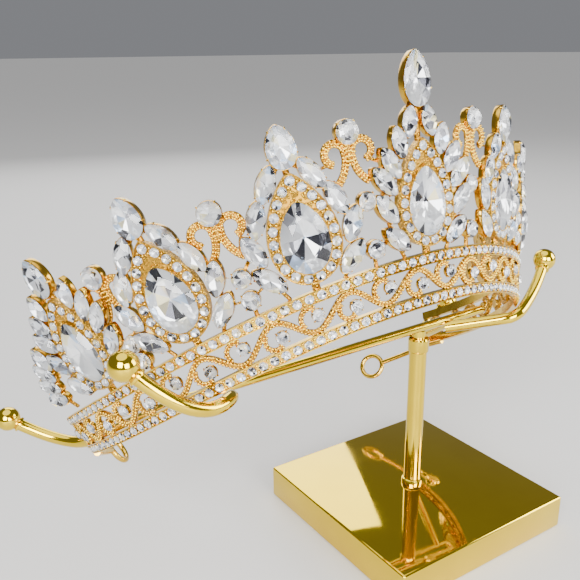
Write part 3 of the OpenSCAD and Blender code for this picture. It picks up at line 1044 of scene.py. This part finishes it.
def round_spots():
    made = []
    for k in range(1 - ROUND_COUNT // 2, ROUND_COUNT // 2 + 1):
        up = WAVE_MID + (-ROUND_OFFSET if k % 2 == 0 else ROUND_OFFSET)
        made.append(((k + ROUND_LEAD + BAND_SHIFT) * ROUND_SPACE, up))
    return made


def curl_path(spot):
    """A curl springs from the wave and rolls round to its stone."""
    over = 1 if spot[1] > WAVE_MID else -1
    centre = (spot[0] + CURL_MIDDLE[0], spot[1] + over * CURL_MIDDLE[1])
    return arc(centre, CURL_R, CURL_R - CURL_SHRINK, over * CURL_FROM, over * CURL_TO, 12)


def along_band(path, offset, pitch, out):
    """Frames at equal distances along a path on the band, beside it by an offset."""
    places = []
    for spot, way in evenly(path, pitch):
        side = Vector((-way.y, way.x)) * offset
        places.append(CROWN @ on_band(spot.x + side.x, spot.y + side.y) @ shift(0, 0, out))
    return places


class Wave(bpy.types.Operator):
    """Bends the wave and its curls and covers them with grains"""

    bl_idname = "crown.wave"
    bl_label = "Wave and curls"

    def execute(self, context):
        paths = [(wave_path(), WAVE_W)] + [(curl_path(spot), CURL_W) for spot in round_spots()]
        wires = [
            wire([wall_point(turn_of(p.x), p.y, WAVE_OUT) for p in path], d - 0.2, 10) for path, d in paths]
        piece = lay(joined(wires), CROWN)
        smooth(piece, 60)
        finish(piece, "wave_wires", "grained_gold")
        pitch = sizes().grain_pitch / MM
        places = []
        for path, d in paths:
            for offset in (-WAVE_GRAIN_OFF * d, WAVE_GRAIN_OFF * d):
                places += along_band(path, offset, pitch, WAVE_OUT + WAVE_GRAIN_UP * d)
        set_grains("wave_grains", places)
        return {"FINISHED"}


class Halos(bpy.types.Operator):
    """Raises the drop-shaped dishes that frame the large stones"""

    bl_idname = "crown.halos"
    bl_label = "Halos"

    def execute(self, context):
        rim = sizes().rim / MM
        floor = HALO_FRONT - 0.6
        wide, long = DROP_W + rim + 0.2, DROP_L + rim + 0.4

        def halo(w, l, z):
            return outline(halo_point, w, l, 56, middle=HALO_MIDDLE), z

        def drop(w, l, z):
            return outline(drop_point, w, l, 56, middle=DROP_MIDDLE), z

        master = smooth(loft([
            halo(HALO_W - 1.2, HALO_L - 1.8, CUP_BACK), halo(HALO_W - 0.3, HALO_L - 0.5, CUP_BACK + 0.5),
            halo(HALO_W, HALO_L, HALO_FRONT - 0.15), halo(HALO_W - 0.2, HALO_L - 0.3, HALO_FRONT),
            halo(HALO_W - 2 * rim, HALO_L - 3 * rim, HALO_FRONT - 0.05),
            halo(HALO_W - 2 * rim - 0.1, HALO_L - 3 * rim - 0.2, floor),
            drop(wide, long, floor), drop(wide, long, HALO_FRONT + 0.05),
            drop(wide - 0.1, long - 0.1, HALO_FRONT + 0.12), drop(DROP_W, DROP_L + 0.1, HALO_FRONT + 0.12),
            drop(DROP_W, DROP_L + 0.1, HALO_FRONT - 0.4), drop(DROP_W - 4, DROP_L - 5, PLATE_FRONT)]), 35)
        piece = copies(master, [CROWN @ on_motif(m) for m in range(MOTIF_COUNT)])
        finish(piece, "halos", "hammered_gold")
        places = []
        stones = halo_places()
        for m in range(MOTIF_COUNT):
            for (x, y), (nx, ny) in zip(stones, stones[1:] + stones[:1]):
                way = Vector((nx - x, ny - y)).normalized()
                for offset in (-HALO_GRAIN_OFF, HALO_GRAIN_OFF):
                    places.append(CROWN @ on_motif(m) @ shift(
                        (x + nx) / 2 - way.y * offset, (y + ny) / 2 + way.x * offset, HALO_GRAIN_UP))
        set_grains("halo_grains", places, HALO_GRAIN_SIZE)
        return {"FINISHED"}


def halo_places():
    """Places of the small stones of a halo, the first in its tip."""
    low, high = HALO_BASE + 1.55, HALO_BASE + HALO_L - 2.1
    path = outline(halo_point, DROP_W + 3, high - low, 96, middle=(high + low) / 2)
    return [(p.x, p.y) for p, _ in evenly(path, sizes().halo_pitch / MM, True)]


def cup(point, w, l, back, top, floor, count=24, extra=0.16):
    """The setting of one stone, open in front."""
    steps = [
        (w + extra - 0.4, l + extra - 0.4, 0, back), (w + extra, l + extra, 0, back + 0.3),
        (w + extra, l + extra, 0, top - 0.1), (w + extra - 0.08, l + extra - 0.08, 0, top),
        (w - 0.1, l - 0.1, 0, top), (w * 0.55, l * 0.55, 0, floor)]
    piece = plate(outline(point, steps[0][0], steps[0][1], count), back)
    raise_steps(piece, steps)
    return smooth(piece, 35)


def claw_places(place, point, w, l, claws, height):
    """Frames of a stone's claws on its outline, leaning over it."""
    size, shares = claws
    made = []
    for share in shares:
        x, y = point(share, w, l)
        facing = math.degrees(math.atan2(y, x))
        made.append(
            place @ shift(x, y, height) @ turn("Z", facing) @ turn("Y", CLAW_LEAN) @ Matrix.Scale(size, 4))
    return made


def claw():
    """A short bent prong with a rounded end."""
    d = sizes().claw / MM
    piece = plate(outline(round_point, d, d, 8), -0.9)
    raise_steps(piece, [
        (d * size, d * size, 0, z) for size, z in ((1, -0.9), (0.95, 0.1), (0.75, 0.3), (0.3, 0.4))])
    return smooth(piece, 80)


class Settings(bpy.types.Operator):
    """Makes the cups and claws of the leaf, pear, drop and round stones"""

    bl_idname = "crown.settings"
    bl_label = "Cups and claws"

    def execute(self, context):
        made, claws, leaf_places = [], [], []
        leaf_master = cup(leaf_point, LEAF_W, 10, LEAF_BACK, 0.6, -0.4, 24)
        for m in range(MOTIF_COUNT):
            base = CROWN @ on_motif(m)
            w, l, low = pear_size(m)
            pear = base @ shift(0, low + l / 2)
            made.append(lay(cup(drop_point, w, l, LEAF_BACK, 0.9, -0.35, 32, 0.2), pear))
            claws += claw_places(pear, drop_point, w, l, PEAR_CLAWS, 1.15)
            drop = base @ shift(0, DROP_MIDDLE)
            claws += claw_places(drop, drop_point, DROP_W + 0.2, DROP_L + 0.3, DROP_CLAWS, 1.75)
            for side in (-1, 1):
                for leaf in side_leaves(m, side):
                    place = base @ leaf_frame(leaf, side)
                    leaf_places.append(place @ Matrix.Diagonal((leaf_length(leaf) / 10, 1, 1, 1)))
                    claws += claw_places(place, leaf_point, LEAF_W, leaf_length(leaf), LEAF_CLAWS, 0.8)
        made.append(copies(leaf_master, leaf_places))
        for gap in GAPS:
            base = CROWN @ on_plane(gap[0], gap[1])
            rounds = [((gap[4], gap[3]), TOP_ROUND_D, 1.2)] + [(spot, GAP_ROUND_D, 1.3) for spot in gap[5]]
            for (x, y), d, girdle in rounds:
                place = base @ shift(x, y)
                made.append(lay(cup(round_point, d, d, LEAF_BACK, girdle - 0.3, GAP_FRONT - 0.05), place))
                claws += claw_places(place, round_point, d, d, ROUND_CLAWS, girdle - 0.05)
        for spot in round_spots():
            place = CROWN @ on_band(*spot)
            d = BAND_ROUND_D
            made.append(lay(cup(round_point, d, d, -0.4, 0.7, 0.1, 16, 0.12), place))
            claws += claw_places(place, round_point, d, d, BAND_CLAWS, 1)
        # The cups get the darker gold, which is painted shade on their sides.
        finish(joined(made), "stone_cups", "shaded_gold")
        finish(copies(claw(), claws), "claws", "bright_gold")
        return {"FINISHED"}


def scroll_path(join):
    """One half of a scroll pair: a stem that turns over at the top and rolls in."""
    stem = bezier(*[(x, join + y) for x, y in SCROLL_STEM], 8)
    eye = (SCROLL_EYE[0], join + SCROLL_EYE[1])
    return stem + arc(eye, *SCROLL_RADII, *SCROLL_TURN, 18)[1:]


def strand(kind, ends, base, sides=10):
    """A straight or bent wire at one height over the flat work: diameter and height, then its points."""
    d, height = kind
    return lay(wire([(x, y, height) for x, y in ends], d, sides), base)


class Scrolls(bpy.types.Operator):
    """Bends the scroll pairs between the motifs, their grains and the wires that tie them"""

    bl_idname = "crown.scrolls"
    bl_label = "Scrolls and ties"

    def execute(self, context):
        wires, places = [], []
        pitch = sizes().grain_pitch / MM
        for g, gap in enumerate(GAPS):
            base = CROWN @ on_plane(gap[0], gap[1])
            join = gap[2]
            for side in (-1, 1):
                path = [Vector((gap[4] + side * p.x, p.y)) for p in scroll_path(join)]
                flat = base @ shift(0, 0, (LEAF_BACK + GAP_FRONT) / 2)
                flat = flat @ Matrix.Diagonal((1, 1, SCROLL_FLAT, 1))
                wires.append(strand((SCROLL_W, 0), path, flat, 12))
                for offset, out in SCROLL_GRAINS:
                    for spot, way in evenly(path, pitch):
                        places.append(base @ shift(spot.x - way.y * offset, spot.y + way.x * offset, out))
                high = 0 if join > HIGH_JOIN else 1
                m = g if side < 0 else g + 1
                starts = [(gap[4] + side * x, join + y) for x, y in TIE_SPOTS] + [*gap[5]]
                for (x, y), number in zip(starts, (high, high + 1, 2, 3)):
                    leaf = leaf_middle(motif_leaves(m)[number + (1 if MOTIFS[m][1] else 0)])
                    first = base @ Vector((x, y, TIE_FRONT))
                    last = CROWN @ on_motif(m) @ Vector((-side * leaf[0], leaf[1], TIE_BACK))
                    wires.append(wire([first, first.lerp(last, 0.5), last], TIE_D * MM, 8))
            wires.append(strand(GAP_STEM, [(gap[4], join - 1.6), (gap[4], gap[3] - 1)], base))
            x, y = gap[5][1]
            wires.append(strand(GAP_FOOT, [(x, y), (x, BAND_H - SUNK)], base, 8))
            for y in (join - 0.8, join + 0.4, join + 1.6):
                for x in (-0.6, 0, 0.6):
                    places.append(base @ shift(gap[4] + x, y, GAP_FRONT + 0.1))
        for m in range(MOTIF_COUNT):
            base = CROWN @ on_motif(m)
            low = pear_size(m)[2]
            wires.append(strand(MOTIF_FOOT, [(0, BAND_H - SUNK), (0, HALO_BASE + SUNK)], base))
            wires.append(strand(MOTIF_STEM, [(0, HALO_BASE + HALO_L - SUNK), (0, low + 1.5)], base))
            for side in (-1, 1):
                spine = [(1, low + 1.5), *map(leaf_middle, side_leaves(m, side))]
                spine.append((WING_FOOT if has_wing(m, side) else LINK_FOOT, BAND_H - SUNK))
                wires.append(strand(LINK, [(side * x, y) for x, y in spine], base, 8))
        piece = joined(wires)
        smooth(piece, 60)
        finish(piece, "scrolls_and_ties", "grained_gold")
        set_grains("scroll_grains", places)
        return {"FINISHED"}


def tail_up(a):
    """Height of the tail on the wall: level within the band, then falling to the loop."""
    return TAIL_HEIGHT - TAIL_FALL * max(0, (a - BAND_END) / (TAIL_END - BAND_END))


class Tails(bpy.types.Operator):
    """Bends the wires behind the band and the loops at their ends"""

    bl_idname = "crown.tails"
    bl_label = "Tails and loops"

    def execute(self, context):
        loop_r = (LOOP_D - TAIL_D) / 2
        run = TAIL_END - math.degrees(loop_r / RING_R) - TAIL_START
        angles = [TAIL_START + run * i / 16 for i in range(17)]
        ring = [(loop_r * cosd(10 * k), loop_r * sind(10 * k), 0) for k in range(36)]
        made = []
        for side in (-1, 1):
            made.append(wire([wall_point(side * a, tail_up(a), 0) for a in angles], TAIL_D, 12))
            made.append(lay(wire(ring, TAIL_D, 12, True), on_wall(side * TAIL_END, tail_up(TAIL_END))))
        piece = lay(joined(made), CROWN)
        smooth(piece, 60)
        finish(piece, "tails_and_loops", "bright_gold")
        return {"FINISHED"}


class DropStones(bpy.types.Operator):
    """Sets the seven large drop stones"""

    bl_idname = "crown.drop_stones"
    bl_label = "Drop stones"

    def execute(self, context):
        for m in range(MOTIF_COUNT):
            place = CROWN @ on_motif(m) @ shift(0, DROP_MIDDLE)
            master = gem(drop_point, DROP_W, DROP_L, DROP_CUT, 10)
            set_stones("drop_stone_cut_%d" % (m + 1), [(master, [place])], ["drop_stone_%d" % (m + 1)])
        return {"FINISHED"}


class PearStones(bpy.types.Operator):
    """Sets the pear stones on top of the motifs"""

    bl_idname = "crown.pear_stones"
    bl_label = "Pear stones"

    def execute(self, context):
        for m in range(MOTIF_COUNT):
            w, l, low = pear_size(m)
            place = CROWN @ on_motif(m) @ shift(0, low + l / 2)
            master = gem(drop_point, w, l, PEAR_CUT, 10)
            set_stones("pear_stone_cut_%d" % (m + 1), [(master, [place])], ["pear_stone_%d" % (m + 1)])
        return {"FINISHED"}


class LeafStones(bpy.types.Operator):
    """Sets the leaf stones of each motif"""

    bl_idname = "crown.leaf_stones"
    bl_label = "Leaf stones"

    def execute(self, context):
        for m in range(MOTIF_COUNT):
            groups = []
            for side in (-1, 1):
                for leaf in side_leaves(m, side):
                    place = CROWN @ on_motif(m) @ leaf_frame(leaf, side)
                    groups.append((gem(leaf_point, LEAF_W, leaf_length(leaf), LEAF_CUT, 8), [place]))
            set_stones("leaf_stones_cut_%d" % (m + 1), groups, ["leaf_stones_%d" % (m + 1)])
        return {"FINISHED"}


def numbered(start, count):
    return [start + str(k + 1) for k in range(count)]


class RoundStones(bpy.types.Operator):
    """Sets the round stones over and below the scrolls and in the band"""

    bl_idname = "crown.round_stones"
    bl_label = "Round stones"

    def execute(self, context):
        tops, lowers = [], []
        for gap in GAPS:
            base = CROWN @ on_plane(gap[0], gap[1])
            tops.append(base @ shift(gap[4], gap[3]))
            lowers += [base @ shift(*spot) for spot in gap[5]]
        band = [CROWN @ on_band(*spot) for spot in round_spots()]
        for name, d, cut, count, places, replaced in (
                ("top_rounds_cut", TOP_ROUND_D, TOP_CUT, 8, tops, numbered("top_round_", 6)),
                ("gap_rounds_cut", GAP_ROUND_D, GAP_CUT, 8, lowers, numbered("gap_round_", 12)),
                ("band_rounds_cut", BAND_ROUND_D, BAND_CUT, 6, band, ["band_rounds"])):
            set_stones(name, [(gem(round_point, d, d, cut, count), places)], replaced)
        return {"FINISHED"}


class SmallStones(bpy.types.Operator):
    """Sets the small stones of the rows and halos"""

    bl_idname = "crown.small_stones"
    bl_label = "Small stones"

    def execute(self, context):
        d = sizes().row_stone / MM
        for name, up in zip(("lower_row_stones", "upper_row_stones"), ROW_UPS):
            places = [CROWN @ on_band(across, y) for across, y in row_places(up)]
            set_stones(name, [(gem(round_point, d, d, ROW_CUT, 6), places)])
        d = sizes().halo_stone / MM
        for m in range(MOTIF_COUNT):
            places = [CROWN @ on_motif(m) @ shift(x, y) for x, y in halo_places()]
            set_stones("halo_stones_%d" % (m + 1), [(gem(round_point, d, d, HALO_CUT, 6), places)])
        return {"FINISHED"}


class Stage(bpy.types.Operator):
    """Sets up the floor, the soft lights and the camera"""

    bl_idname = "crown.stage"
    bl_label = "Stage"

    def execute(self, context):
        clear()
        bpy.ops.mesh.primitive_plane_add(size=FLOOR_SIDE, location=(0, 0, 0))
        floor = bpy.context.object
        floor.name = "floor"
        floor.data.materials.append(material("floor"))
        for name, kind, spot, size, power in LIGHTS:
            light = bpy.data.lights.new(name, kind)
            setattr(light, "size" if kind == "AREA" else "angle", size)
            light.energy = power
            lamp = bpy.data.objects.new(name, light)
            lamp.location = spot
            lamp.rotation_euler = (Vector(LIGHT_AIM) - Vector(spot)).to_track_quat("-Z", "Y").to_euler()
            bpy.context.collection.objects.link(lamp)
        world = bpy.data.worlds.new("studio")
        world.use_nodes = True
        world.node_tree.nodes["Background"].inputs["Color"].default_value = SKY
        world.node_tree.nodes["Background"].inputs["Strength"].default_value = 1
        bpy.context.scene.world = world
        camera = bpy.data.cameras.new("camera")
        camera.lens = CAMERA_LENS
        camera.sensor_width = CAMERA_SENSOR
        camera.clip_start = 0.01
        view = bpy.data.objects.new("camera", camera)
        view.location = Vector(CAMERA_POS) * MM
        view.rotation_euler = [math.radians(a) for a in CAMERA_TURN]
        bpy.context.collection.objects.link(view)
        bpy.context.scene.camera = view
        return {"FINISHED"}


PIECES = (
    BasePlate, Post, Head, Rows, Wave, Halos, Settings, Scrolls, Tails,
    DropStones, PearStones, LeafStones, RoundStones, SmallStones, Stage)


class CrownPanel(bpy.types.Panel):
    """Lists the sizes, the colours and the pieces"""

    bl_idname = "VIEW3D_PT_crown"
    bl_label = "Crystal crown"
    bl_space_type = "VIEW_3D"
    bl_region_type = "UI"
    bl_category = "Crown"

    def draw(self, context):
        for group in (context.scene.crown_sizes, context.scene.crown_colours):
            for name in group.bl_rna.properties.keys():
                if name not in ("rna_type", "name"):
                    self.layout.prop(group, name)
        for piece in PIECES:
            self.layout.operator(piece.bl_idname)


CLASSES = (CrownSizes, CrownColours, *PIECES, CrownPanel)


def register():
    for made in CLASSES:
        bpy.utils.register_class(made)
    bpy.types.Scene.crown_sizes = bpy.props.PointerProperty(type=CrownSizes)
    bpy.types.Scene.crown_colours = bpy.props.PointerProperty(type=CrownColours)


def unregister():
    del bpy.types.Scene.crown_colours
    del bpy.types.Scene.crown_sizes
    for made in reversed(CLASSES):
        bpy.utils.unregister_class(made)


def main():
    register()
    for piece in PIECES:
        group, name = piece.bl_idname.split(".")
        getattr(getattr(bpy.ops, group), name)()


if __name__ == "__main__":
    main()
